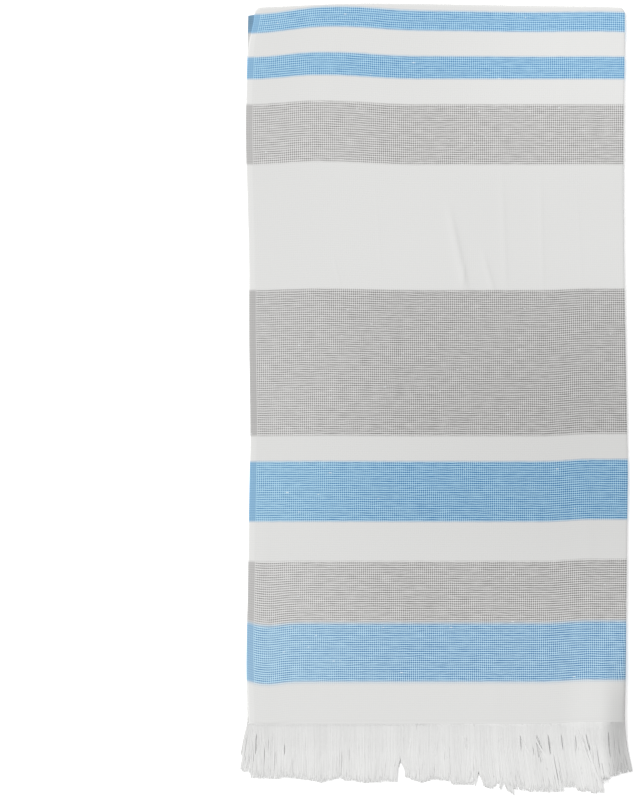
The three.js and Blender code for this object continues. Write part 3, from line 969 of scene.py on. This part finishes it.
def yarn_material(colours):
    """Loose white warp ends: each yarn has its own tone, with painted shade on those near
    the lengthwise fold, a twist that winds along it, and short fibres."""
    material, build, shader = new_material("cotton_yarn", 0.92, 0.15)
    round_it, out, _ = build.split(build.add("UVMap", uv_map="flat_cloth").outputs["UV"])
    own = build.add("Attribute", attribute_name="yarn_tone_and_shade").outputs["Fac"]
    turns = build.plus(round_it, build.math("DIVIDE", out, 0.0024))
    turns = build.plus(turns, build.times(own, 11.7))
    twist = build.math("SINE", build.times(turns, 4 * math.pi))
    solid = build.add("TexCoord").outputs["Object"]
    fibres = build.group("cotton_fuzz", Place=solid, Scale=1500.0, Strength=0.08)
    # The yarn's own tone, darkened by painted shade near the lengthwise fold
    tone = build.times(fibres["Tone"], build.span(own, -3.0, 1.0, 0.67, 1.0))
    tone = build.times(tone, build.span(twist, -1.0, 1.0, 0.97, 1.01))
    tone = build.times(tone, build.ease(out, 0.0, 0.018, 0.95, 1.0))
    build.feed(shader.inputs["Base Color"], build.tinted((*colours.yarn, 1), tone))
    height = build.plus(twist, fibres["Height"])
    build.feed(shader.inputs["Normal"], build.bump(height, 0.25, 0.0001))
    return material


def colour_property(name, description, default):
    """A colour that a user may change."""
    return FloatVectorProperty(
        name=name, description=description, default=default, size=3,
        min=0.0, max=1.0, subtype="COLOR",
    )


def length_property(name, description, default, least=0.0):
    """A length in metres that a user may change."""
    return FloatProperty(
        name=name, description=description, default=default, min=least,
        unit="LENGTH", subtype="DISTANCE", precision=4,
    )


class TowelClothSizes(PropertyGroup):
    """Sizes of the open cloth and of its fine grid."""

    width: length_property("Width", "Open width, hem to hem", 0.896)
    length: length_property("Length", "Open length without the fringes", 1.717)
    thickness: length_property("Thickness", "Thickness of the cloth", 0.001)
    pair_gap: length_property("Pair gap", "Gap inside each folded pair", 0.0006)
    middle_gap: length_property("Middle gap", "Gap between the two pairs", 0.0006)
    bend_cells: IntProperty(name="Bend cells", description="Cells in a quarter turn", default=4)
    cells_across: IntProperty(name="Cells across", description="Cells, hem to fold", default=138)
    cells_along: IntProperty(name="Cells along", description="Cells, fold to end", default=158)


class TowelColours(PropertyGroup):
    """Colours of the yarns."""

    white: colour_property("White", "Ground of the cloth", (0.713, 0.713, 0.703))
    deep_blue: colour_property("Deep blue", "Blue weft in the hollows", (0.030, 0.170, 0.405))
    light_blue: colour_property("Light blue", "Blue under white threads", (0.460, 0.725, 0.885))
    deep_grey: colour_property("Deep grey", "Grey weft in the hollows", (0.215, 0.210, 0.206))
    light_grey: colour_property("Light grey", "Grey under white threads", (0.735, 0.73, 0.72))
    yarn: colour_property("Yarn", "Loose yarns of the fringes", (0.79, 0.79, 0.782))


class TowelFringeSizes(PropertyGroup):
    """Sizes of the fringes."""

    yarns: IntProperty(name="Yarns", description="Yarns at each end", default=2050)
    steps: IntProperty(name="Steps", description="Points along a yarn", default=12)
    yarn_width: length_property("Yarn width", "Width of a yarn that lies flat", 0.0011)
    yarn_height: length_property("Yarn height", "Height of a yarn that lies flat", 0.0004)
    depth: length_property("Depth", "Depth that the yarns are spread over", 0.0003)
    settle: FloatProperty(
        name="Settle", description="Share of its height that a yarn loses to its tip",
        default=0.6, min=0.0, max=0.9, subtype="FACTOR",
    )


class TowelStageSizes(PropertyGroup):
    """The floor, the light and the camera."""

    floor_colour: colour_property("Floor", "Colour of the floor", (0.93, 0.93, 0.93))
    floor_size: length_property("Floor size", "Side of the floor", 40.0)
    floor_glow: FloatProperty(name="Floor glow", description="Light of the floor", default=0.35)
    sky: FloatProperty(name="Sky", description="Strength of the even light", default=0.5)
    key: FloatProperty(name="Key", description="Strength of the soft key light", default=2.25)
    key_spread: FloatProperty(
        name="Key spread", description="Angle that the key light fills",
        default=math.radians(38), subtype="ANGLE",
    )
    camera_height: length_property("Camera height", "Height of the camera", 4.0)
    view_height: length_property("View height", "Height of the camera's view", 0.952)
    view_across: length_property("View across", "Middle of the view along X", -0.1427, -10.0)
    view_along: length_property("View along", "Middle of the view along Y", 0.0002, -10.0)


class TOWEL_OT_cloth(Operator):
    """Builds the woven cloth, folded twice, as one closed sheet."""

    bl_idname = "towel.cloth"
    bl_label = "Woven Cloth"

    def execute(self, context):
        sizes = context.scene.towel_cloth
        material = cloth_material(context.scene.towel_colours, sizes)
        piece = new_object("woven_cloth", cloth_mesh(sizes), material)
        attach(piece, BODY)
        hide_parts("cloth")
        return {"FINISHED"}


class TOWEL_OT_fringes(Operator):
    """Builds the loose yarns at both ends of the cloth."""

    bl_idname = "towel.fringes"
    bl_label = "Yarn Fringes"

    def execute(self, context):
        scene = context.scene
        sizes, fringe = scene.towel_cloth, scene.towel_fringe
        material = yarn_material(scene.towel_colours)
        upper = yarn_paths(sizes, fringe, 1, 17)
        crossing = crossing_paths(sizes, fringe)
        upper = [np.concatenate(pair) for pair in zip(upper, crossing)]
        lower = yarn_paths(sizes, fringe, -1, 29)
        half_size = (fringe.yarn_width / MM / 2, fringe.yarn_height / MM)
        for node, yarns in (("upper_fringe", upper), ("lower_fringe", lower)):
            mesh = tube_mesh(node + "_yarns", *yarns, half_size)
            piece = new_object(node + "_yarns", mesh, material)
            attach(piece, BODY)
            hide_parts(node)
        return {"FINISHED"}


class TOWEL_OT_stage(Operator):
    """Builds the pale floor, the soft light and the camera above the towel."""

    bl_idname = "towel.stage"
    bl_label = "Stage"

    def execute(self, context):
        scene = context.scene
        stage = scene.towel_stage
        half = stage.floor_size / 2
        corners = np.array([(-half, -half), (half, -half), (half, half), (-half, half)])
        points = np.column_stack([corners, np.full(4, FLOOR_HEIGHT)])
        mesh = quad_mesh("floor", points, np.arange(4)[None, :], corners)
        material, build, shader = new_material("pale_floor", 0.9, 0.0)
        place = build.add("TexCoord").outputs["Object"]
        speckle = build.span(build.noise(place, 9.0, 3.0), 0.3, 0.7, 0.985, 1.0)
        colour = build.tinted((*stage.floor_colour, 1), speckle)
        build.feed(shader.inputs["Base Color"], colour)
        shader.inputs["Emission Color"].default_value = WHITE
        shader.inputs["Emission Strength"].default_value = stage.floor_glow
        new_object("floor", mesh, material)

        world = bpy.data.worlds.new("pale_surround")
        scene.world = world
        world.use_nodes = True
        sky = world.node_tree.nodes["Background"]
        sky.inputs["Color"].default_value = WHITE
        sky.inputs["Strength"].default_value = stage.sky

        light = bpy.data.lights.new("soft_key", "SUN")
        light.energy = stage.key
        light.angle = stage.key_spread
        lamp = new_object("soft_key", light)
        lamp.rotation_mode = "QUATERNION"
        lamp.rotation_quaternion = Vector(KEY_DIRECTION).to_track_quat("-Z", "Y")

        lens = bpy.data.cameras.new("above")
        lens.sensor_width = 36.0
        reach = stage.camera_height - SEEN_HEIGHT
        lens.lens = lens.sensor_width * reach / stage.view_height
        lens.clip_end = 100.0
        camera = new_object("above", lens)
        camera.location = (stage.view_across, stage.view_along, stage.camera_height)
        scene.camera = camera
        scene.view_settings.view_transform = "Standard"
        return {"FINISHED"}


class TOWEL_PT_pieces(Panel):
    """The towel's pieces, in the sidebar."""

    bl_idname = "TOWEL_PT_pieces"
    bl_label = "Folded Towel"
    bl_space_type = "VIEW_3D"
    bl_region_type = "UI"
    bl_category = "Towel"

    def draw(self, context):
        for name, operator in zip(SETTINGS, (TOWEL_OT_cloth, None, *OPERATORS[1:])):
            box = self.layout.box()
            settings = getattr(context.scene, name)
            for key in settings.bl_rna.properties.keys():
                if key not in ("rna_type", "name"):
                    box.prop(settings, key)
            if operator:
                box.operator(operator.bl_idname)


SETTINGS = {
    "towel_cloth": TowelClothSizes,
    "towel_colours": TowelColours,
    "towel_fringe": TowelFringeSizes,
    "towel_stage": TowelStageSizes,
}
OPERATORS = (TOWEL_OT_cloth, TOWEL_OT_fringes, TOWEL_OT_stage)


def register():
    """Registers the settings, the operators and the panel."""
    for name, group in SETTINGS.items():
        bpy.utils.register_class(group)
        setattr(bpy.types.Scene, name, PointerProperty(type=group))
    for kind in (*OPERATORS, TOWEL_PT_pieces):
        bpy.utils.register_class(kind)


def unregister():
    """Takes them out again."""
    for kind in (TOWEL_PT_pieces, *reversed(OPERATORS)):
        bpy.utils.unregister_class(kind)
    for name, group in SETTINGS.items():
        delattr(bpy.types.Scene, name)
        bpy.utils.unregister_class(group)


def main():
    register()
    bpy.ops.towel.cloth()
    bpy.ops.towel.fringes()
    bpy.ops.towel.stage()


if __name__ == "__main__":
    main()
